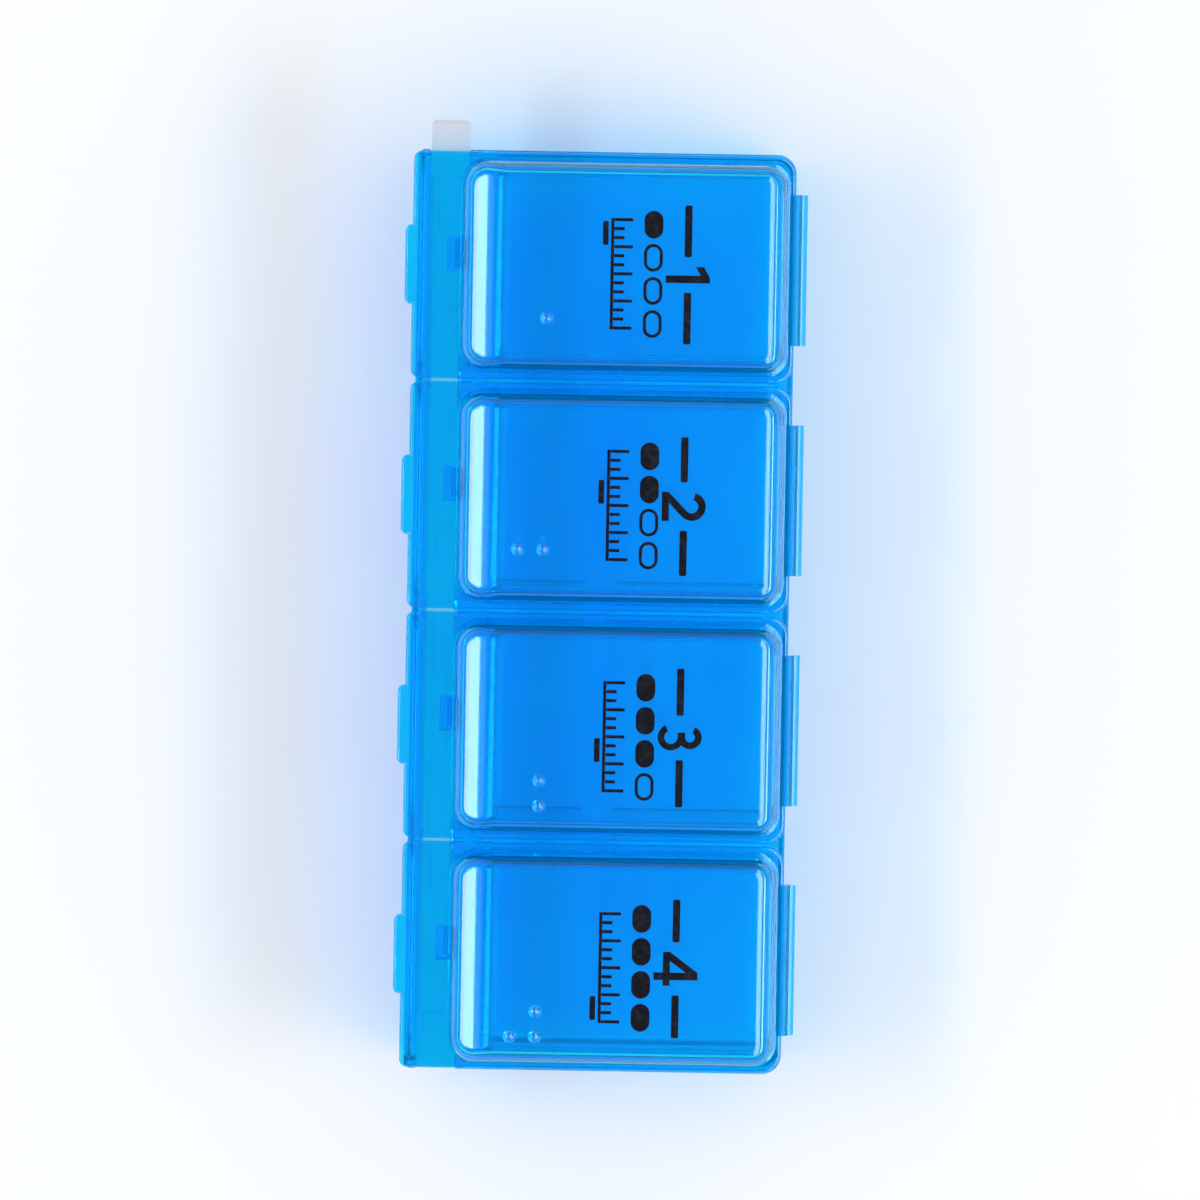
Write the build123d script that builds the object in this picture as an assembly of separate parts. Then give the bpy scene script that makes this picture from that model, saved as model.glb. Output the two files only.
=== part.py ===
from build123d import *
import math
import os

# A locking pill organizer: a row of domed lids on one tray, and a lock bar
# that slides along the front under the lids' flanges.
# +X runs along the row from the first dose to the last, -Y is the front with
# the lock bar, +Y the hinge side, +Z up. The origin is the middle of the
# tray's underside. Sizes are in millimetres and degrees.

# Overall sizes
doses = 4                # compartments in the row
pitch = 22.0             # from one compartment to the next
tray_depth = 36.1        # front face to back face at the rim
rim_z = 15.0             # height of the tray's rim
dome_height = 5.6        # how far a dome stands above its flange

# Tray walls
front_wall = 1.0         # outer wall in front of the lock bar
pocket_wall = 1.15       # front and back wall of a compartment at the rim
divider = 1.8            # wall between two compartments at the rim
floor_thick = 1.2
outer_draft = 1.0        # degrees, wider at the rim
side_draft = 7.0         # inner walls beside a dose, which lean outwards to the rim
front_draft = 1.0        # inner wall at the front of a compartment
back_draft = 4.0
floor_round = 0.9        # long floor edges of a compartment
pocket_round = 0.45      # its other inner edges
hollow_skin = 1.0        # walls of the hollow dividers
hollow_tip = 0.35        # half width of such a hollow at its top
hollow_rib = 3.0         # solid middle of a divider at the base
tray_round_front = 0.6   # upright corners of the tray
tray_round_back = 1.8
base_round = 0.7

# Lock bar and the channel that it slides in
bar_width = 3.1
bar_height = 3.0
bar_travel = 2.8         # from unlocked to locked
bar_side_gap = 0.2       # bar to the front wall
slot_gap = 0.15          # bar to the sides of the slots that guide it
bar_lift = 0.1           # bar to the bottoms of those slots
bar_below_rim = 0.6      # top of the bar under the rim
button_wider = 0.5       # the push ends are wider towards the back by this
button_taller = 0.2
button_inside = 1.6      # how far a push end reaches inside the end wall
button_round = 0.5
bar_edge = 0.25          # chamfer along the bar
channel_floor = 1.2
channel_below_hook = 0.4
core_skin = 0.2          # walls of the hollow under the channel are thicker by this
core_round = 0.4
stop_width = 1.5         # lug under the bar
stop_inset = 0.4         # lug back from the bar's sides
stop_gap = 0.1           # lug to its two ribs at the ends of the travel
stop_rib = 1.0
stop_from_wall = 0.9     # second rib to the wall of its bay
stop_bay = 2             # counted from 0: the bay that has the stop
nib_reach = 0.4          # lips that keep the bar in its slots
nib_height = 0.5
detent_bay = 1           # the bay that has the parking ridge
ridge_height = 0.15      # ridge on the front wall
ridge_radius = 0.35
groove_depth = 0.35      # grooves in the bar that park on the ridge

# Hooks on the lids
hook_width = 2.8
hook_thick = 1.0
hook_reach = 1.15        # the catch reaches this far under the bar's back
hook_catch = 1.2         # height of the catch
hook_lead = 0.65         # slope under the catch
hook_gap = 0.35          # bar to hook
hook_drop = 0.3          # underside of the bar to the catch
shank_gap = 0.3          # hook to the compartment wall
hook_offset = -1.1       # hook from the middle of its compartment
notch_side_gap = 0.3     # hook to the sides of its notch in the bar
notch_depth = 1.45

# Lids
lid_gap = 0.3            # between two lids
seat_gap = 0.1           # rim to lid
flange = 1.1             # thickness of a lid's flat plate
lid_wall = 1.0
lid_overhang = 0.45      # lid past the tray's front face
plate_round_front = 0.8  # upright corners of the flat plate
plate_round_back = 1.8
tab_width = 7.6
tab_reach = 0.7
tab_corner = 0.6
dome_ledge = 0.45        # flat plate beside and behind a dome
dome_over_bar = 0.35     # a dome's front stands this far over the bar's back
dome_draft = 7.0
dome_corner_front = 2.8  # upright corners of a dome
dome_corner_back = 2.4
dome_round = 1.5         # top edges of a dome
slope_depth = 3.4        # sloping front of a dome's top
slope_angle = 20.0
slope_blend = 5.0        # radius from the slope to the flat top
skirt_drop = 0.8         # rib that reaches down inside a compartment
skirt_thick = 0.65
skirt_gap = 0.2
skirt_corner = 0.6
mouth_corner = 0.4
flange_round = 0.3

# Raised dots that name a lid by touch, as cells for 1, 2, 3 and 4
dot_width = 1.3
dot_height = 0.36
dot_pitch = 2.4
dot_across = 4.9         # first column, from the middle of its lid
dot_row = -5.5           # first row, from the middle of the box
cells = [                # columns and rows of the dots
    [(0, 0)],
    [(0, 0), (0, 1)],
    [(0, 0), (1, 0)],
    [(0, 0), (1, 0), (1, 1)],
]

# Living hinges
hinge_width = 14.4
hinge_pad = 0.6          # thick edges that the thin web joins
pad_height = 1.6
web_radius = 0.4         # middle of the web's fold
web_thick = 0.3

# Places along the row
length = doses * pitch
pocket_width = pitch - divider
centres = [(i - (doses - 1) / 2) * pitch for i in range(doses)]
wall_centres = [centres[0] - pitch / 2 + i * pitch for i in range(doses + 1)]

# Places from front to back
front_y = -tray_depth / 2
back_y = tray_depth / 2
channel_front = front_y + front_wall
bar_front = channel_front + bar_side_gap
bar_back = bar_front + bar_width
hook_front = bar_back + hook_gap
hook_back = hook_front + hook_thick
channel_back = hook_back + shank_gap
pocket_front = channel_back + pocket_wall
pocket_back = back_y - pocket_wall
lid_front = front_y - lid_overhang
dome_front = bar_back - dome_over_bar

# Heights
bar_top = rim_z - bar_below_rim
bar_bottom = bar_top - bar_height
slot_bottom = bar_bottom - bar_lift
catch_top = bar_bottom - hook_drop
hook_bottom = catch_top - hook_catch
channel_z = hook_bottom - channel_below_hook
lid_z = rim_z + seat_gap
flange_top = lid_z + flange
dome_top = flange_top + dome_height
hinge_z = rim_z + seat_gap / 2

# The stop: a lug under the bar that runs between two ribs on the channel floor
stop_bay_end = centres[stop_bay] + pocket_width / 2
rib_after = stop_bay_end - stop_from_wall - stop_rib
stop_x = rib_after - stop_gap - bar_travel - stop_width
rib_before = stop_x - stop_gap - stop_rib

# Where the parking ridge stands
detent_x = centres[detent_bay] + pitch / 4


def block(x0, x1, y0, y1, z0, z1):
    """A box from its lowest and highest corner."""
    size = Box(x1 - x0, y1 - y0, z1 - z0)
    return Pos((x0 + x1) / 2, (y0 + y1) / 2, (z0 + z1) / 2) * size


def outline(x0, x1, y0, y1, round_front, round_back):
    """A flat rectangle with its own corner radius at the front and at the back."""
    shape = Pos((x0 + x1) / 2, (y0 + y1) / 2) * Rectangle(x1 - x0, y1 - y0)
    corners = shape.vertices().sort_by(Axis.Y)
    shape = fillet(corners[:2], round_front)
    return fillet(shape.vertices().group_by(Axis.Y)[-1], round_back)


def along_x(points, x0, x1):
    """A solid with an outline of (y, z) points, from x0 to x1."""
    face = make_face(Polyline(*[(x0, y, z) for y, z in points], close=True))
    return extrude(face, amount=x1 - x0, dir=(1, 0, 0))


def pocket(x):
    """The hollow of one compartment, with drafted walls and a round along its long floor edges."""
    top = rim_z + 1
    deep = rim_z - floor_thick
    lean = math.tan(math.radians(side_draft))
    half = pocket_width / 2 - deep * lean
    wide = pocket_width / 2 + lean
    trough = make_face(
        Polyline(
            (x - wide, pocket_front - 1, top),
            (x - half, pocket_front - 1, floor_thick),
            (x + half, pocket_front - 1, floor_thick),
            (x + wide, pocket_front - 1, top),
            close=True,
        )
    )
    trough = extrude(trough, amount=pocket_back - pocket_front + 2, dir=(0, 1, 0))
    floor_edges = trough.edges().filter_by(Axis.Y).group_by(Axis.Z)[0]
    trough = fillet(floor_edges, floor_round)
    lean_front = math.tan(math.radians(front_draft))
    lean_back = math.tan(math.radians(back_draft))
    ends = [
        (pocket_front - lean_front, top),
        (pocket_front + deep * lean_front, floor_thick),
        (pocket_back - deep * lean_back, floor_thick),
        (pocket_back + lean_back, top),
    ]
    hollow = trough & along_x(ends, x - pitch, x + pitch)
    front = hollow.faces().sort_by(Axis.Y)[0]
    back = hollow.faces().sort_by(Axis.Y)[-1]
    rounded = [e for e in front.edges() + back.edges() if e.center().Z < top - 0.1]
    return fillet(rounded, pocket_round)


def divider_hollow(x, y0, y1):
    """A hollow in one divider, open at the base, that leaves both of its walls equally thick."""
    lean = math.tan(math.radians(side_draft))
    foot = divider / 2 + rim_z * lean - hollow_skin
    section = make_face(
        Polyline(
            (x - foot, y0, 0),
            (x - hollow_tip, y0, (foot - hollow_tip) / lean),
            (x + hollow_tip, y0, (foot - hollow_tip) / lean),
            (x + foot, y0, 0),
            close=True,
        )
    )
    return extrude(section, amount=y1 - y0, dir=(0, 1, 0))


def channel_bay(x):
    """The part of the channel beside one compartment, open at the top."""
    half = pocket_width / 2
    return block(x - half, x + half, channel_front, channel_back, channel_z, rim_z + 1)


def channel_core(x):
    """The hollow under the channel floor, open at the base."""
    half = pocket_width / 2 - core_skin
    front = channel_front + core_skin
    back = channel_back - core_skin / 2
    mouth = outline(x - half, x + half, front, back, core_round, core_round)
    return extrude(mouth, amount=channel_z - channel_floor, taper=outer_draft)


def make_tray():
    """The tray: compartments, lock bar channel, skirt and hinge pads in one moulding."""
    half = length / 2
    rim = Pos(0, 0, rim_z) * outline(
        -half, half, front_y, back_y, tray_round_front, tray_round_back
    )
    tray = extrude(rim, amount=rim_z, dir=(0, 0, -1), taper=outer_draft)
    tray = fillet(tray.faces().sort_by(Axis.Z)[0].edges(), base_round)
    for x in centres:
        tray -= pocket(x)
        tray -= channel_bay(x)
        tray -= channel_core(x)
    for x in wall_centres[1:-1]:
        tray -= divider_hollow(x, pocket_front, -hollow_rib / 2)
        tray -= divider_hollow(x, hollow_rib / 2, pocket_back - hollow_skin)
    slot_front = bar_front - slot_gap
    slot_back = bar_back + slot_gap
    tray -= block(-half - 1, half + 1, slot_front, slot_back, slot_bottom, rim_z + 1)
    for x in (wall_centres[0], wall_centres[-1]):
        tray -= block(
            x - divider / 2, x + divider / 2, slot_front, slot_back + button_wider,
            slot_bottom, rim_z + 1,
        )
    for x in centres:
        tray += hinge_edge(x, rim_z - pad_height, rim_z, upper=False)
    for x in wall_centres[1:-1]:
        tray += nib(x, slot_front, nib_reach)
        tray += nib(x, slot_back, -nib_reach)
    for x in (rib_before, rib_after):
        tray += block(
            x, x + stop_rib, channel_front, channel_back, channel_z, bar_bottom - hook_drop
        )
    ridge = Cylinder(ridge_radius, bar_height)
    ridge_y = channel_front + ridge_height - ridge_radius
    return tray + Pos(detent_x, ridge_y, bar_bottom + bar_height / 2) * ridge


def nib(x, edge, reach):
    """A lip over one side of a slot, sloped on top so that the bar snaps in past it."""
    points = [
        (edge, rim_z),
        (edge, rim_z - nib_height),
        (edge + reach, rim_z - nib_height),
        (edge + reach, rim_z - nib_height * 0.7),
    ]
    return along_x(points, x - divider / 2, x + divider / 2)


def hinge_edge(x, z0, z1, upper):
    """The thick edge that the thin web joins, with its chamfer away from the web."""
    inside = back_y - pocket_wall / 2
    rear = back_y + hinge_pad
    if upper:
        points = [(inside, z0), (rear, z0), (rear, z1 - hinge_pad), (back_y, z1), (inside, z1)]
    else:
        points = [(inside, z1), (rear, z1), (rear, z0 + hinge_pad), (back_y, z0), (inside, z0)]
    return along_x(points, x - hinge_width / 2, x + hinge_width / 2)


def make_web(x):
    """The thin folded web of one living hinge: half a tube, open towards the box."""
    centre_y = back_y + hinge_pad
    ring = Circle(web_radius + web_thick / 2) - Circle(web_radius - web_thick / 2)
    half_ring = ring & (Pos(web_radius, 0) * Rectangle(2 * web_radius, 4 * web_radius))
    start = Plane(
        origin=(x - hinge_width / 2, centre_y, hinge_z), x_dir=(0, 1, 0), z_dir=(1, 0, 0)
    )
    return extrude(start * half_ring, amount=hinge_width)


def make_hook(x):
    """The hook under one lid: a shank with a catch that points to the front."""
    tip = hook_front - hook_reach
    points = [
        (hook_back, lid_z + flange / 2),
        (hook_back, hook_bottom),
        (tip + hook_lead, hook_bottom),
        (tip, hook_bottom + hook_lead),
        (tip, catch_top),
        (hook_front, catch_top),
        (hook_front, lid_z + flange / 2),
    ]
    return along_x(points, x - hook_width / 2, x + hook_width / 2)


def dome_form(x, inset, z0):
    """A dome from height z0 up: a drafted block whose top slopes off to the front, with soft edges."""
    top = dome_top - inset
    front = dome_front + inset
    back = back_y - dome_ledge - inset
    half = (pitch - lid_gap) / 2 - dome_ledge - inset
    base = outline(
        x - half, x + half, front, back, dome_corner_front - inset, dome_corner_back - inset
    )
    dome = extrude(Pos(0, 0, z0) * base, amount=top - z0, taper=dome_draft)
    fall = math.tan(math.radians(slope_angle))
    crest = front + slope_depth
    side = [
        (front - 1, z0 - 1), (front - 1, top - (slope_depth + 1) * fall), (crest, top),
        (back + 1, top), (back + 1, z0 - 1),
    ]
    roof = make_face(Polyline(*[(x - half, y, z) for y, z in side], close=True))
    ridge = roof.vertices().sort_by_distance((x - half, crest, top))[0]
    roof = fillet(ridge, slope_blend - inset)
    dome &= extrude(roof, amount=2 * half, dir=(1, 0, 0))
    roof_faces = [face for face in dome.faces() if face.normal_at().Z > 0.5]
    edges = [edge for face in roof_faces for edge in face.edges()]
    seams = [e for e in edges if abs(e.center().X - x) < 1 and front + 1 < e.center().Y < back - 1]
    return fillet([edge for edge in edges if edge not in seams], dome_round - inset)


def raised_dots(x, cell):
    """The dots of one cell, as round caps on top of a dome."""
    radius = ((dot_width / 2) ** 2 + dot_height**2) / (2 * dot_height)
    cap = Sphere(radius, arc_size1=0, align=(Align.CENTER, Align.CENTER, Align.MIN))
    foot = dome_top + dot_height - radius
    return [
        Pos(x + dot_across + column * dot_pitch, dot_row - row * dot_pitch, foot) * cap
        for column, row in cell
    ]


def make_lid(x, cell):
    """One lid: flat flange, hollow dome, skirt, hook, thumb tab, hinge pad and raised dots."""
    half = (pitch - lid_gap) / 2
    plate = outline(x - half, x + half, lid_front, back_y, plate_round_front, plate_round_back)
    tab = outline(
        x - tab_width / 2, x + tab_width / 2, lid_front - tab_reach, hook_front,
        tab_corner, tab_corner,
    )
    plate = extrude(Pos(0, 0, lid_z) * (plate + tab), amount=flange)
    plate = fillet(plate.faces().sort_by(Axis.Z)[-1].edges(), flange_round)
    dome = dome_form(x, 0, lid_z + flange / 2)
    inner = dome_form(x, lid_wall, flange_top)

    reach = pocket_width / 2 - skirt_gap
    skirt = outline(
        x - reach, x + reach, pocket_front + skirt_gap, pocket_back - skirt_gap,
        skirt_corner, skirt_corner,
    )
    mouth = outline(
        x - reach + skirt_thick, x + reach - skirt_thick,
        pocket_front + skirt_gap + skirt_thick, pocket_back - skirt_gap - skirt_thick,
        mouth_corner, mouth_corner,
    )
    skirt = extrude(Pos(0, 0, lid_z - skirt_drop) * skirt, amount=skirt_drop + flange / 2)
    mouth = extrude(Pos(0, 0, lid_z - skirt_drop - 1) * mouth, amount=skirt_drop + flange + 1)

    lid = plate + dome + skirt - inner - mouth
    lid += hinge_edge(x, lid_z, lid_z + pad_height, upper=True)
    lid += make_hook(x + hook_offset)
    return lid + raised_dots(x, cell)


def push_end(tip, root):
    """One end of the lock bar, a little larger than the bar, with soft edges at its tip."""
    end = block(
        min(tip, root), max(tip, root), bar_front, bar_back + button_wider,
        bar_bottom, bar_top + button_taller,
    )
    tip_face = end.faces().sort_by(Axis.X)[0 if tip < root else -1]
    return fillet(tip_face.edges(), button_round)


def make_lock_bar():
    """The lock bar: a notch for each hook, a stop lug, two parking grooves, two push ends."""
    inside = length / 2 - divider / 2 - button_inside
    bar = block(-inside, inside, bar_front, bar_back, bar_bottom, bar_top)
    bar = chamfer(bar.edges().filter_by(Axis.X), bar_edge)
    bar += push_end(-length / 2 - bar_travel, -inside)
    bar += push_end(length / 2, inside - bar_travel)
    notch_half = hook_width / 2 + notch_side_gap
    for x in centres:
        middle = x + hook_offset
        bar -= block(
            middle - notch_half, middle + notch_half, bar_back - notch_depth, bar_back + 1,
            bar_bottom - 1, bar_top + 1,
        )
    groove = Cylinder(groove_depth, bar_height + 1)
    for x in (detent_x, detent_x - bar_travel):
        bar -= Pos(x, bar_front, bar_bottom + bar_height / 2) * groove
    return bar + block(
        stop_x, stop_x + stop_width, bar_front + stop_inset, bar_back - stop_inset,
        channel_z + hook_drop, bar_bottom + stop_inset,
    )


os.makedirs("parts", exist_ok=True)
export_step(make_tray(), "parts/tray.step")
export_step(make_lock_bar(), "parts/lock_bar.step")
for number, (x, cell) in enumerate(zip(centres, cells), start=1):
    export_step(make_lid(x, cell), f"parts/lid_{number}.step")
    export_step(make_web(x), f"parts/hinge_web_{number}.step")
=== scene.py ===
import math

import bmesh
import bpy
from bpy.props import FloatProperty, FloatVectorProperty, IntProperty, PointerProperty
from mathutils import Matrix, Vector


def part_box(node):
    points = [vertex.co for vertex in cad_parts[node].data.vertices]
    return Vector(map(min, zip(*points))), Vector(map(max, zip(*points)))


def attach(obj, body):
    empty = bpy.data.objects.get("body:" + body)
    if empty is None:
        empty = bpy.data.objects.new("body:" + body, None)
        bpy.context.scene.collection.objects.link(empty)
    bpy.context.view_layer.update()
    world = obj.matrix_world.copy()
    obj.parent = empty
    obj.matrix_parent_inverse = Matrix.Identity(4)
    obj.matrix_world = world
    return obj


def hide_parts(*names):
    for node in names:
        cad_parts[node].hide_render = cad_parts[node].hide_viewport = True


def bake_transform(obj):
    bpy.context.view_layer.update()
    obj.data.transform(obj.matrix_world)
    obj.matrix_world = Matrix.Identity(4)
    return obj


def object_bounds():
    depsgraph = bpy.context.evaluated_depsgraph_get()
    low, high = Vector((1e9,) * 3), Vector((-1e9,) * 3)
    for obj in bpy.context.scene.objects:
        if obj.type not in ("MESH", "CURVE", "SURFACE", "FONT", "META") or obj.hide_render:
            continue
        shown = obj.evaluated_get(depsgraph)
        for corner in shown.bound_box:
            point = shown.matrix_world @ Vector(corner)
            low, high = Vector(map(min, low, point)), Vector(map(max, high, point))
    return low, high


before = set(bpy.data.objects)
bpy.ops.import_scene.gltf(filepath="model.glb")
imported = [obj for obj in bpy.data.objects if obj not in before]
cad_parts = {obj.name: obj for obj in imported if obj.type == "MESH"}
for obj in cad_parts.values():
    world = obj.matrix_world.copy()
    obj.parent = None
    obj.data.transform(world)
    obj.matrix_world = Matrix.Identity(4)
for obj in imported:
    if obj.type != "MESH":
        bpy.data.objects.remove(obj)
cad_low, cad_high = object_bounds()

bl_info = {
    "name": "Locking Pill Organizer",
    "version": (1, 0, 0),
    "blender": (4, 5, 0),
    "location": "View3D > Sidebar > Organizer",
    "description": "Finishes, lid prints and studio for a locking pill organizer",
    "category": "Object",
}

MM = 0.001
LIDS = sorted(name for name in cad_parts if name.startswith("lid_"))
WEBS = sorted(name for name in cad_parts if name.startswith("hinge_web_"))

# How fine each pattern in a surface is, in waves per metre
MELT_CLOUDS = 70.0
HANDLING = 150.0
MOULD_WAVES = 260.0
MOULD_GRAIN = 2600.0
BAR_CLOUDS = 220.0
BAR_RUBS = (60.0, 900.0, 900.0)
BAR_GRAIN = 5200.0
INK_COVER = 1800.0
FLOOR_CLOUDS = 6.0

# Finish of the tray and the hinges, in shares of the lids' haze and roughness
TRAY_HAZE = 1.2
TRAY_DULL = 1.5
HINGE_DULL = 3

# How deep the bar's and the ink's grain is, and how far light spreads in the bar
BAR_GRAIN_DEPTH = 0.004 * MM
INK_DEPTH = 0.003 * MM
BAR_GLOW = 0.6 * MM

# The print's layout. Lengths along the row are shares of the numeral's line
PIP_PITCH = 1 / 4.2
PIP_FILL = 0.84          # pip's length as a share of the pips' pitch
SCALE_LENGTH = 0.78
SCALE_TICKS = 12         # steps of a day's scale
LONG_TICK_EVERY = 3
RULE_GAP = 1.3           # gap beside the numeral, in widths of the rule
MARK_DROP = 2.2          # the mark of a lid's quarter, in hairlines
MARK_WIDTH = 1.8
TICK_GAP = 0.01 * MM     # gap that keeps a tick apart from its line
FILM_LIFT = 0.01 * MM    # a print's underside over the plastic

FLOOR_HALF = 3.0         # metres from the middle of the floor to its edge
FLOOR_DROP = 0.05 * MM   # floor below the object, so that the two faces don't fight


class ClearPlastic(bpy.types.PropertyGroup):
    """The clear blue plastic of the tray, the lids and their hinges"""

    tint: FloatVectorProperty(
        name="Tint", description="Colour that a face of a lid gives to light",
        default=(0.010, 0.722, 0.987), subtype="COLOR", min=0, max=1,
    )
    tray_tint: FloatVectorProperty(
        name="Tray Tint", description="Colour that a face of the tray gives to light",
        default=(0.010, 0.708, 0.987), subtype="COLOR", min=0, max=1,
    )
    cloud: FloatProperty(
        name="Cloud", description="How much deeper the tint is where the melt has more dye",
        default=0.06, min=0, max=1, subtype="FACTOR",
    )
    haze: FloatProperty(
        name="Haze", description="Share of the light that a wall scatters",
        default=0.05, min=0, max=1, subtype="FACTOR",
    )
    hinge_haze: FloatProperty(
        name="Hinge Haze", description="Share that the whitened hinges scatter",
        default=0.30, min=0, max=1, subtype="FACTOR",
    )
    bend: FloatProperty(
        name="Index", description="Refractive index", default=1.49, min=1, max=2
    )
    polish: FloatProperty(
        name="Roughness", description="Roughness of the polished faces",
        default=0.04, min=0, max=1, subtype="FACTOR",
    )
    ripple: FloatProperty(
        name="Ripple", description="Depth of the mould's soft waviness",
        default=0.006 * MM, min=0, max=MM, unit="LENGTH", precision=6,
    )


class BarPlastic(bpy.types.PropertyGroup):
    """The white plastic of the lock bar"""

    colour: FloatVectorProperty(
        name="Colour", description="Colour of the lock bar",
        default=(0.62, 0.64, 0.71), subtype="COLOR", min=0, max=1,
    )
    rubbed: FloatVectorProperty(
        name="Rubbed Colour", description="Colour where the bar rubs in its slots",
        default=(0.55, 0.57, 0.64), subtype="COLOR", min=0, max=1,
    )
    roughness: FloatProperty(
        name="Roughness", description="Roughness of the satin faces",
        default=0.32, min=0, max=1, subtype="FACTOR",
    )


class LidPrint(bpy.types.PropertyGroup):
    """The print on each lid: a numeral between two rules, pips and a scale"""

    ink: FloatVectorProperty(
        name="Ink", description="Colour of the print",
        default=(0.006, 0.007, 0.012), subtype="COLOR", min=0, max=1,
    )
    below_dots: FloatProperty(
        name="Below Dots", description="Flat top of a lid, below its raised dots",
        default=0.36 * MM, min=0, max=0.01, unit="LENGTH", precision=4,
    )
    thickness: FloatProperty(
        name="Thickness", description="How far the print stands up",
        default=0.03 * MM, min=0, max=MM, unit="LENGTH", precision=5,
    )
    numeral_height: FloatProperty(
        name="Numeral Height", description="Height of the numeral",
        default=4.2 * MM, min=0, max=0.02, unit="LENGTH", precision=4,
    )
    line_length: FloatProperty(
        name="Line Length", description="Length of the numeral's line with its rules",
        default=13.2 * MM, min=0, max=0.05, unit="LENGTH", precision=4,
    )
    rule: FloatProperty(
        name="Rule", description="Width of the rules beside the numeral",
        default=0.7 * MM, min=0, max=0.01, unit="LENGTH", precision=4,
    )
    pip_height: FloatProperty(
        name="Pip Height", description="Height of a pip",
        default=1.8 * MM, min=0, max=0.01, unit="LENGTH", precision=4,
    )
    tick: FloatProperty(
        name="Tick", description="Height of the scale's long ticks",
        default=1.8 * MM, min=0, max=0.01, unit="LENGTH", precision=4,
    )
    short_tick: FloatProperty(
        name="Short Tick", description="Height of the scale's short ticks",
        default=1.0 * MM, min=0, max=0.01, unit="LENGTH", precision=4,
    )
    hairline: FloatProperty(
        name="Hairline", description="Width of the finest lines",
        default=0.30 * MM, min=0, max=0.01, unit="LENGTH", precision=5,
    )
    numeral_place: FloatProperty(
        name="Numeral Place", description="Middle of the numeral's line, from the box's middle",
        default=7.8 * MM, min=-0.05, max=0.05, unit="LENGTH", precision=4,
    )
    pip_place: FloatProperty(
        name="Pip Place", description="Middle of the line of pips, from the box's middle",
        default=4.5 * MM, min=-0.05, max=0.05, unit="LENGTH", precision=4,
    )
    scale_place: FloatProperty(
        name="Scale Place", description="Middle of the scale, from the box's middle",
        default=1.5 * MM, min=-0.05, max=0.05, unit="LENGTH", precision=4,
    )
    along: FloatProperty(
        name="Along", description="Middle of the print, from the middle of its lid",
        default=0.6 * MM, min=-0.05, max=0.05, unit="LENGTH", precision=4,
    )


class LivingHinge(bpy.types.PropertyGroup):
    """The thin webs between the tray and the lids"""

    wall: FloatProperty(
        name="Wall", description="Thickness of a web",
        default=0.3 * MM, min=0, max=MM, unit="LENGTH", precision=4,
    )
    steps: IntProperty(
        name="Steps", description="Faces around the fold", default=28, min=4, max=96
    )
    seat: FloatProperty(
        name="Seat", description="How far a web runs into the edges that hold it",
        default=0.06 * MM, min=0, max=MM, unit="LENGTH", precision=5,
    )


class Studio(bpy.types.PropertyGroup):
    """Floor, light and camera"""

    floor_colour: FloatVectorProperty(
        name="Floor", description="Colour of the floor",
        default=(0.90, 0.905, 0.91), subtype="COLOR", min=0, max=1,
    )
    horizon: FloatProperty(
        name="Horizon", description="Brightness of the surroundings at eye level",
        default=0.95, min=0, max=4,
    )
    zenith: FloatProperty(
        name="Zenith", description="Brightness of the surroundings overhead",
        default=0.66, min=0, max=4,
    )
    shade: FloatProperty(
        name="Shade", description="How much darker gloss shows the surroundings overhead",
        default=0.60, min=0, max=4,
    )
    horizon_shade: FloatProperty(
        name="Horizon Shade", description="How much darker gloss shows them at eye level",
        default=0.40, min=0, max=4,
    )
    backdrop: FloatProperty(
        name="Backdrop", description="Brightness of the background in the picture",
        default=0.95, min=0, max=1,
    )
    key: FloatProperty(
        name="Key", description="Brightness of the front softbox's face", default=8.0, min=0, max=50
    )
    fill: FloatProperty(
        name="Fill", description="Brightness of the rear softbox's face", default=6.5, min=0, max=50
    )
    glint: FloatProperty(
        name="Glint", description="Brightness of the panel that only gloss shows",
        default=0.8, min=0, max=50,
    )
    rear_glint: FloatProperty(
        name="Rear Glint", description="Brightness of the rear panel that only gloss shows",
        default=5.0, min=0, max=50,
    )
    camera_place: FloatVectorProperty(
        name="Camera", description="Where the camera is, over the object",
        default=(-33.0 * MM, 3.4 * MM, 1.0), subtype="TRANSLATION", precision=4,
    )
    view_height: FloatProperty(
        name="View Height", description="What the picture's height takes in at the lids",
        default=0.114, min=0.01, max=2, unit="LENGTH", precision=3,
    )
    roll: FloatProperty(
        name="Roll", description="Turn of the object in the picture",
        default=math.radians(1), subtype="ANGLE",
    )


class Organizer(bpy.types.PropertyGroup):
    """All settings of the pill organizer"""

    clear: PointerProperty(type=ClearPlastic)
    bar: PointerProperty(type=BarPlastic)
    lid_print: PointerProperty(type=LidPrint)
    hinge: PointerProperty(type=LivingHinge)
    studio: PointerProperty(type=Studio)


class Wire:
    """A value that changes over a surface. An expression on wires adds its Math nodes"""

    def __init__(self, paint, socket):
        self.paint = paint
        self.socket = socket

    def math(self, operation, *values, **settings):
        settings["operation"] = operation
        return self.paint.node("ShaderNodeMath", settings, dict(enumerate(values)))

    def __add__(self, other):
        return self.math("ADD", self, other)

    def __sub__(self, other):
        return self.math("SUBTRACT", self, other)

    def __rsub__(self, other):
        return self.math("SUBTRACT", other, self)

    def __mul__(self, other):
        return self.math("MULTIPLY", self, other)

    __radd__ = __add__
    __rmul__ = __mul__

    def most(self, other):
        return self.math("MAXIMUM", self, other)

    def ramp(self, low, high, to_low=0.0, to_high=1.0):
        """This value, read between low and high, as one between to_low and to_high."""
        places = {"Value": self, 1: low, 2: high, 3: to_low, 4: to_high}
        return self.paint.node("ShaderNodeMapRange", {"interpolation_type": "SMOOTHSTEP"}, places)


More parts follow.
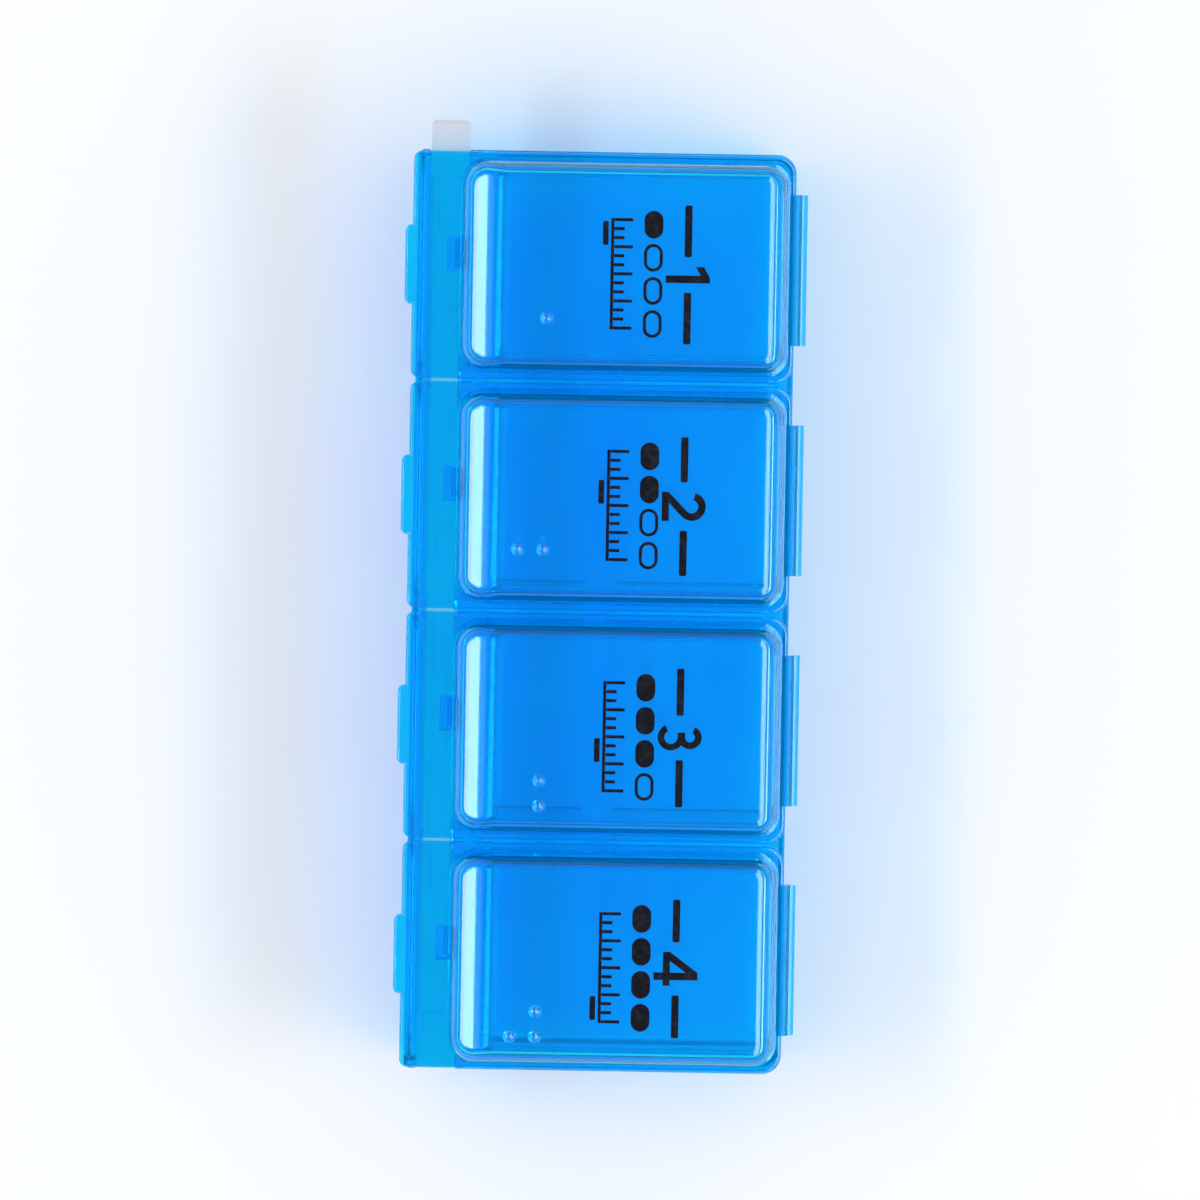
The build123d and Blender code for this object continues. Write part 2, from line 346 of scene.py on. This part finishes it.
class Paint:
    """A material or world in the making"""

    def __init__(self, owner):
        self.owner = owner
        owner.use_nodes = True
        self.tree = owner.node_tree
        self.tree.nodes.clear()

    def node(self, kind, settings=None, values=None, output=0):
        """Adds a node: its settings first, then a number, a colour or a wire for each input."""
        made = self.tree.nodes.new(kind)
        for name, setting in (settings or {}).items():
            setattr(made, name, setting)
        for place, value in (values or {}).items():
            if isinstance(value, Wire):
                self.tree.links.new(value.socket, made.inputs[place])
            else:
                made.inputs[place].default_value = value
        return Wire(self, made.outputs[output]) if made.outputs else made

    def blend(self, share, one, other):
        """A colour between two. A Mix node's colours are its inputs 6 and 7 and its output 2."""
        settings = {"data_type": "RGBA"}
        return self.node("ShaderNodeMix", settings, {0: share, 6: one, 7: other}, output=2)

    def noise(self, place, scale, detail=2.0, roughness=0.5, distortion=0.0):
        values = {
            "Vector": place, "Scale": scale, "Detail": detail,
            "Roughness": roughness, "Distortion": distortion,
        }
        return self.node("ShaderNodeTexNoise", None, values)

    def place(self):
        """Where a point of the surface lies on the piece, in metres."""
        return self.node("ShaderNodeTexCoord", output="Object")

    def finish(self, shader, kind="ShaderNodeOutputMaterial"):
        self.node(kind, None, {"Surface": shader})
        return self.owner


def rgba(colour):
    return (*colour, 1.0)


def clear_blue(name, clear, tint, haze, roughness):
    """Clear dyed plastic. Light from the lamps and scattered light go straight on through it, tinted."""
    paint = Paint(bpy.data.materials.new(name))
    place = paint.place()
    melt = paint.noise(place, MELT_CLOUDS, detail=2.5, distortion=0.6).ramp(0.35, 0.7)
    red, green, blue = tint
    deep = (red * (1 - clear.cloud), green * (1 - clear.cloud), blue)
    colour = paint.blend(melt, rgba(tint), rgba(deep))
    wavy = paint.noise(place, MOULD_WAVES, detail=1.0)
    grain = paint.noise(place, MOULD_GRAIN, detail=2.0)
    handled = paint.noise(place, HANDLING, detail=4.0, roughness=0.6).ramp(0.45, 0.75)
    bump = paint.node(
        "ShaderNodeBump", None,
        {"Strength": 1.0, "Distance": clear.ripple, "Height": wavy + grain * 0.04},
    )
    plastic = paint.node(
        "ShaderNodeBsdfPrincipled", None,
        {
            "Base Color": colour,
            "Roughness": handled * 0.03 + roughness,
            "IOR": clear.bend,
            "Transmission Weight": 1.0 - haze,
            "Normal": bump,
        },
    )
    wall_side = [math.sqrt(value) for value in tint]
    through = paint.node("ShaderNodeBsdfTransparent", None, {"Color": rgba(wall_side)})
    from_lamp = paint.node("ShaderNodeLightPath", output="Is Shadow Ray")
    scattered = paint.node("ShaderNodeLightPath", output="Is Diffuse Ray")
    passes = from_lamp.most(scattered)
    return paint.finish(paint.node("ShaderNodeMixShader", None, {0: passes, 1: plastic, 2: through}))


def satin_white(bar):
    """White moulded plastic, a little rubbed and greyed in bands along the way it slides."""
    paint = Paint(bpy.data.materials.new("white_bar"))
    place = paint.place()
    along = paint.node("ShaderNodeMapping", None, {"Vector": place, "Scale": BAR_RUBS})
    streaks = paint.noise(along, 1.0, detail=3.0).ramp(0.45, 0.8)
    cloud = paint.noise(place, BAR_CLOUDS, detail=3.0).ramp(0.3, 0.8)
    colour = paint.blend(streaks * 0.6 + cloud * 0.2, rgba(bar.colour), rgba(bar.rubbed))
    grain = paint.noise(place, BAR_GRAIN, detail=2.0)
    bump = paint.node(
        "ShaderNodeBump", None,
        {"Strength": 1.0, "Distance": BAR_GRAIN_DEPTH, "Height": grain + streaks * 0.8},
    )
    plastic = paint.node(
        "ShaderNodeBsdfPrincipled", None,
        {
            "Base Color": colour,
            "Roughness": streaks * -0.10 + bar.roughness,
            "Normal": bump,
            "Subsurface Weight": 0.08,
            "Subsurface Radius": (BAR_GLOW, BAR_GLOW, BAR_GLOW),
        },
    )
    return paint.finish(plastic)


def screen_ink(lid_print):
    """Black printing ink, a little uneven in cover and shine."""
    paint = Paint(bpy.data.materials.new("ink"))
    place = paint.place()
    cover = paint.noise(place, INK_COVER, detail=3.0).ramp(0.4, 0.75)
    thin = [value * 1.8 + 0.002 for value in lid_print.ink]
    bump = paint.node(
        "ShaderNodeBump", None, {"Strength": 1.0, "Distance": INK_DEPTH, "Height": cover}
    )
    ink = paint.node(
        "ShaderNodeBsdfPrincipled", None,
        {
            "Base Color": paint.blend(cover, rgba(lid_print.ink), rgba(thin)),
            "Roughness": cover * 0.06 + 0.16,
            "Specular IOR Level": 0.15,
            "Normal": bump,
        },
    )
    return paint.finish(ink)


def new_piece(name, mesh, material, body=None):
    """An object with a finish that moves with a body of the frame."""
    made = bpy.data.objects.new(name, mesh)
    bpy.context.scene.collection.objects.link(made)
    mesh.materials.append(material)
    if body:
        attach(made, body)
    return made


def mesh_from(name, points, faces, smooth=False):
    mesh = bpy.data.meshes.new(name)
    mesh.from_pydata(points, [], faces)
    for polygon in mesh.polygons:
        polygon.use_smooth = smooth
    mesh.update()
    return mesh


def number_of(name):
    return int(name.rsplit("_", 1)[1])


def arc(u, v, radius, start, end, steps=14):
    """Points on an arc between two angles in degrees."""
    turns = [math.radians(start + (end - start) * step / steps) for step in range(steps + 1)]
    return [(u + radius * math.cos(turn), v + radius * math.sin(turn)) for turn in turns]


def numeral(number):
    """Outlines of a plain bold numeral that is one unit high."""
    if number == 1:
        return [[(0, 0), (0.17, 0), (0.17, 1), (0.04, 1), (-0.2, 0.86), (-0.2, 0.68), (0, 0.79)]]
    if number == 2:
        foot = [(-0.08, 0.165), (0.33, 0.165), (0.33, 0), (-0.33, 0), (-0.33, 0.15)]
        return [arc(0, 0.68, 0.32, 165, -40) + foot + arc(0, 0.68, 0.15, -40, 165)]
    if number == 3:
        outside = arc(0, 0.735, 0.265, 155, -47) + arc(0, 0.3, 0.3, 53, -155)
        stub = [(-0.11, 0.45), (-0.11, 0.625)]
        return [outside + arc(0, 0.3, 0.15, -155, 90) + stub + arc(0, 0.735, 0.11, -90, 155)]
    stem = [(0.09, 0), (0.26, 0), (0.26, 1), (0.09, 1)]
    arm = [
        (0.09, 1), (-0.38, 0.37), (-0.38, 0.21), (0.09, 0.21), (0.09, 0.37), (-0.17, 0.37), (0.09, 0.73)
    ]
    stub = [(0.26, 0.21), (0.39, 0.21), (0.39, 0.37), (0.26, 0.37)]
    return [stem, arm, stub]


class ORGANIZER_OT_clear_moulding(bpy.types.Operator):
    """Give the tray and the lids their clear blue plastic"""

    bl_idname = "organizer.clear_moulding"
    bl_label = "Clear Moulding"

    def execute(self, context):
        clear = context.scene.organizer.clear
        polished = clear_blue("clear_blue_lid", clear, clear.tint, clear.haze, clear.polish)
        tray = clear_blue(
            "clear_blue_tray", clear, clear.tray_tint,
            clear.haze * TRAY_HAZE, clear.polish * TRAY_DULL,
        )
        for name in ["tray", *LIDS]:
            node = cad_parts[name]
            node.data.materials.clear()
            node.data.materials.append(tray if name == "tray" else polished)
        return {"FINISHED"}


class ORGANIZER_OT_lock_bar(bpy.types.Operator):
    """Give the lock bar its white plastic"""

    bl_idname = "organizer.lock_bar"
    bl_label = "Lock Bar"

    def execute(self, context):
        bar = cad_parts["lock_bar"]
        bar.data.materials.clear()
        bar.data.materials.append(satin_white(context.scene.organizer.bar))
        return {"FINISHED"}


class ORGANIZER_OT_living_hinges(bpy.types.Operator):
    """Make the thin webs between the tray and the lids, as fixed half-tube strips"""

    bl_idname = "organizer.living_hinges"
    bl_label = "Living Hinges"

    def execute(self, context):
        settings = context.scene.organizer
        clear = settings.clear
        plastic = clear_blue(
            "clear_blue_hinge", clear, clear.tint, clear.hinge_haze, clear.polish * HINGE_DULL
        )
        for web in WEBS:
            number = number_of(web)
            low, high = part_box(web)
            mesh = self.folded_web(web, low, high, settings.hinge)
            strip = new_piece(f"hinge_strip_{number}", mesh, plastic)
            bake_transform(strip)
            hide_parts(web)
        return {"FINISHED"}

    @staticmethod
    def folded_web(name, low, high, hinge):
        """Half a tube, with straight feet that run into the thick edges of the tray and the lid."""
        outer = (high.z - low.z) / 2
        middle = (low.z + high.z) / 2
        angles = [math.pi * (step / hinge.steps - 0.5) for step in range(hinge.steps + 1)]
        rings = []
        for radius in (outer, outer - hinge.wall):
            fold = [(low.y + radius * math.cos(a), middle + radius * math.sin(a)) for a in angles]
            first = (low.y - hinge.seat, fold[0][1])
            last = (low.y - hinge.seat, fold[-1][1])
            rings.append([first, *fold, last])
        outline = rings[0] + rings[1][::-1]
        count = len(outline)
        points = [(x, y, z) for x in (low.x, high.x) for y, z in outline]
        faces = [
            (i, (i + 1) % count, count + (i + 1) % count, count + i) for i in range(count)
        ]
        half = count // 2
        for side in (0, count):
            for i in range(half - 1):
                face = (side + i, side + i + 1, side + count - 2 - i, side + count - 1 - i)
                faces.append(face if side == 0 else face[::-1])
        mesh = mesh_from(name + "_strip", points, faces)
        shape = bmesh.new()
        shape.from_mesh(mesh)
        bmesh.ops.recalc_face_normals(shape, faces=shape.faces)
        shape.to_mesh(mesh)
        shape.free()
        return mesh


class Film:
    """A thin print on a lid's top. u runs along the row, v towards the hinge."""

    def __init__(self, across, top, lid_print):
        self.shape = bmesh.new()
        self.across = across
        self.levels = (top + FILM_LIFT, top + FILM_LIFT + lid_print.thickness)

    def ring(self, outline, z):
        return [self.shape.verts.new((self.across + u, v, z)) for u, v in outline]

    def walls(self, lower, upper):
        for i, corner in enumerate(lower):
            j = (i + 1) % len(lower)
            self.shape.faces.new((corner, lower[j], upper[j], upper[i]))

    def patch(self, outline):
        """A filled shape."""
        lower, upper = (self.ring(outline, z) for z in self.levels)
        self.walls(lower, upper)
        self.shape.faces.new(upper)
        self.shape.faces.new(lower[::-1])

    def frame(self, outer, inner):
        """A shape with a hole. Both outlines have as many corners."""
        lower, upper = (self.ring(outer, z) for z in self.levels)
        lower_hole, upper_hole = (self.ring(inner, z) for z in self.levels)
        self.walls(lower, upper)
        self.walls(lower_hole[::-1], upper_hole[::-1])
        for i in range(len(outer)):
            j = (i + 1) % len(outer)
            self.shape.faces.new((upper[i], upper[j], upper_hole[j], upper_hole[i]))
            self.shape.faces.new((lower[j], lower[i], lower_hole[i], lower_hole[j]))

    def mesh(self, name):
        bmesh.ops.recalc_face_normals(self.shape, faces=self.shape.faces)
        made = bpy.data.meshes.new(name)
        self.shape.to_mesh(made)
        self.shape.free()
        return made


def rounded(u, v, width, height, radius, steps=6):
    """Corners of a rectangle with round corners, about its middle."""
    corners = []
    for quarter, (du, dv) in enumerate(((1, 1), (-1, 1), (-1, -1), (1, -1))):
        middle_u = u + du * (width / 2 - radius)
        middle_v = v + dv * (height / 2 - radius)
        for step in range(steps + 1):
            turn = math.pi / 2 * (quarter + step / steps)
            corners.append((middle_u + radius * math.cos(turn), middle_v + radius * math.sin(turn)))
    return corners


class ORGANIZER_OT_lid_prints(bpy.types.Operator):
    """Print a numeral between two rules, pips and a scale on each lid"""

    bl_idname = "organizer.lid_prints"
    bl_label = "Lid Prints"

    def execute(self, context):
        lid_print = context.scene.organizer.lid_print
        ink = screen_ink(lid_print)
        for lid in LIDS:
            number = number_of(lid)
            low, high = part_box(lid)
            top = high.z - lid_print.below_dots
            film = Film((low.x + high.x) / 2 + lid_print.along, top, lid_print)
            width = self.numeral(film, number, lid_print)
            self.rules(film, width, lid_print)
            self.pips(film, number, lid_print)
            self.scale(film, number, lid_print)
            new_piece(f"lid_print_{number}", film.mesh(f"lid_print_{number}"), ink, lid)
        return {"FINISHED"}

    @staticmethod
    def numeral(film, number, lid_print):
        """Adds the numeral and returns its width."""
        outlines = numeral(number)
        reach = [u for outline in outlines for u, _ in outline]
        middle = (min(reach) + max(reach)) / 2
        height = lid_print.numeral_height
        for outline in outlines:
            film.patch([
                ((u - middle) * height, lid_print.numeral_place + (v - 0.5) * height)
                for u, v in outline
            ])
        return (max(reach) - min(reach)) * height

    @staticmethod
    def rules(film, width, lid_print):
        """Adds a rule on each side of the numeral."""
        rule = lid_print.rule
        gap = RULE_GAP * rule
        length = (lid_print.line_length - width) / 2 - gap
        for side in (-1, 1):
            middle = side * (width / 2 + gap + length / 2)
            film.patch(rounded(middle, lid_print.numeral_place, length, rule, rule / 4))

    @staticmethod
    def pips(film, number, lid_print):
        """A row of capsules, filled up to this lid's number."""
        pitch = lid_print.line_length * PIP_PITCH
        length, height = PIP_FILL * pitch, lid_print.pip_height
        for pip in range(len(LIDS)):
            u = (pip - (len(LIDS) - 1) / 2) * pitch
            outer = rounded(u, lid_print.pip_place, length, height, height * 0.499)
            if pip < number:
                film.patch(outer)
            else:
                line = lid_print.hairline
                hole = (length - 2 * line, height - 2 * line, height * 0.499 - line)
                film.frame(outer, rounded(u, lid_print.pip_place, *hole))

    @staticmethod
    def scale(film, number, lid_print):
        """A day's scale of ticks, with the stretch that this lid serves in a bolder line."""
        length = lid_print.line_length * SCALE_LENGTH
        line = lid_print.hairline
        foot = lid_print.scale_place - lid_print.tick / 2
        film.patch(rounded(0, foot, length + line, line, line / 4, 2))
        for tick in range(SCALE_TICKS + 1):
            tall = lid_print.short_tick if tick % LONG_TICK_EVERY else lid_print.tick
            u = (tick / SCALE_TICKS - 0.5) * length
            middle = foot + line / 2 + tall / 2
            film.patch(rounded(u, middle, line, tall - 2 * TICK_GAP, line / 4, 2))
        stretch = length / len(LIDS)
        u = (number - (len(LIDS) + 1) / 2) * stretch
        mark = foot - MARK_DROP * line
        film.patch(rounded(u, mark, stretch - line, MARK_WIDTH * line, line / 2, 3))


# Each softbox: its name, place and size, the setting of its brightness, whether gloss alone shows it
SOFTBOXES = (
    ("front_softbox", (0.0, -0.365, 0.455), (0.42, 0.082), "key", False),
    ("rear_softbox", (0.14, 0.50, 0.42), (0.46, 0.14), "fill", False),
    ("front_glint", (0.0, -0.30, 0.42), (0.50, 0.24), "glint", True),
    ("rear_glint", (0.0, 0.18, 0.478), (0.90, 0.25), "rear_glint", True),
)


class ORGANIZER_OT_studio(bpy.types.Operator):
    """Set up the pale floor, the soft lights and the camera above"""

    bl_idname = "organizer.studio"
    bl_label = "Studio"

    def execute(self, context):
        scene = context.scene
        studio = scene.organizer.studio
        self.floor(studio)
        self.sky(scene, studio)
        for name, place, size, setting, gloss_only in SOFTBOXES:
            box = self.softbox(name, place, size, getattr(studio, setting))
            box.visible_diffuse = not gloss_only
        self.camera(scene, studio)
        scene.view_settings.view_transform = "Standard"
        scene.cycles.transparent_max_bounces = 32
        scene.cycles.transmission_bounces = 16
        scene.cycles.max_bounces = 16
        return {"FINISHED"}

    @staticmethod
    def floor(studio):
        corners = ((-1, -1), (1, -1), (1, 1), (-1, 1))
        points = [(x * FLOOR_HALF, y * FLOOR_HALF, -FLOOR_DROP) for x, y in corners]
        mesh = mesh_from("floor", points, [(0, 1, 2, 3)])
        paint = Paint(bpy.data.materials.new("floor"))
        cloud = paint.noise(paint.place(), FLOOR_CLOUDS).ramp(0.2, 0.8)
        darker = [value * 0.985 for value in studio.floor_colour]
        colour = paint.blend(cloud, rgba(studio.floor_colour), rgba(darker))
        shader = paint.node(
            "ShaderNodeBsdfPrincipled", None,
            {"Base Color": colour, "Roughness": 0.75, "Specular IOR Level": 0.2},
        )
        floor = new_piece("floor", mesh, paint.finish(shader))

    @staticmethod
    def sky(scene, studio):
        world = bpy.data.worlds.new("studio")
        scene.world = world
        paint = Paint(world)
        away = paint.node("ShaderNodeTexCoord", output="Generated")
        height = paint.node("ShaderNodeSeparateXYZ", None, {"Vector": away}, output="Z")
        overhead = height.ramp(0.25, 0.85)
        gloss = paint.node("ShaderNodeLightPath", output="Is Glossy Ray")
        light = overhead * (studio.zenith - studio.horizon) + studio.horizon
        shade = overhead * (studio.shade - studio.horizon_shade) + studio.horizon_shade
        light = light - shade * gloss
        seen = paint.node("ShaderNodeLightPath", output="Is Camera Ray")
        glass = paint.node("ShaderNodeLightPath", output="Is Transmission Ray")
        lamp = paint.node(
            "ShaderNodeBackground", None, {"Color": (0.98, 0.99, 1.0, 1.0), "Strength": light}
        )
        backdrop = paint.node(
            "ShaderNodeBackground", None, {"Color": (1, 1, 1, 1), "Strength": studio.backdrop}
        )
        shares = {0: seen.most(glass), 1: lamp, 2: backdrop}
        mixed = paint.node("ShaderNodeMixShader", None, shares)
        paint.finish(mixed, "ShaderNodeOutputWorld")

    @staticmethod
    def softbox(name, place, size, brightness):
        """A lamp that faces the object. brightness is what its face shows."""
        lamp = bpy.data.lights.new(name, "AREA")
        lamp.shape = "ELLIPSE"
        lamp.size, lamp.size_y = size
        lamp.energy = math.pi * brightness * size[0] * size[1]
        box = bpy.data.objects.new(name, lamp)
        bpy.context.scene.collection.objects.link(box)
        box.location = place
        away = Vector(place) - Vector((0, 0, cad_high[2] / 2))
        box.rotation_euler = away.to_track_quat("Z", "Y").to_euler()
        box.visible_camera = False
        return box

    @staticmethod
    def camera(scene, studio):
        data = bpy.data.cameras.new("camera")
        data.sensor_width = 36.0
        camera = bpy.data.objects.new("camera", data)
        scene.collection.objects.link(camera)
        target = Vector(((cad_low[0] + cad_high[0]) / 2, (cad_low[1] + cad_high[1]) / 2, cad_high[2]))
        above = Vector(studio.camera_place)
        away = above - target
        data.lens = data.sensor_width * away.length / studio.view_height
        data.clip_end = 20.0
        back = away.normalized()
        up = Matrix.Rotation(studio.roll, 3, "Z") @ Vector((-1, 0, 0))
        right = up.cross(back).normalized()
        up = back.cross(right)
        turn = Matrix((right, up, back)).transposed()
        camera.matrix_world = Matrix.Translation(above) @ turn.to_4x4()
        scene.camera = camera


STEPS = (
    ORGANIZER_OT_clear_moulding,
    ORGANIZER_OT_lock_bar,
    ORGANIZER_OT_living_hinges,
    ORGANIZER_OT_lid_prints,
    ORGANIZER_OT_studio,
)


class ORGANIZER_PT_parts(bpy.types.Panel):
    """Lists what the organizer is finished with"""

    bl_label = "Pill Organizer"
    bl_space_type = "VIEW_3D"
    bl_region_type = "UI"
    bl_category = "Organizer"

    def draw(self, context):
        for step in STEPS:
            self.layout.operator(step.bl_idname)


SETTINGS = (ClearPlastic, BarPlastic, LidPrint, LivingHinge, Studio, Organizer)


def register():
    for made in (*SETTINGS, *STEPS, ORGANIZER_PT_parts):
        bpy.utils.register_class(made)
    bpy.types.Scene.organizer = PointerProperty(type=Organizer)


def unregister():
    del bpy.types.Scene.organizer
    for made in reversed((*SETTINGS, *STEPS, ORGANIZER_PT_parts)):
        bpy.utils.unregister_class(made)


def main():
    register()
    bpy.ops.organizer.clear_moulding()
    bpy.ops.organizer.lock_bar()
    bpy.ops.organizer.living_hinges()
    bpy.ops.organizer.lid_prints()
    bpy.ops.organizer.studio()


if __name__ == "__main__":
    main()
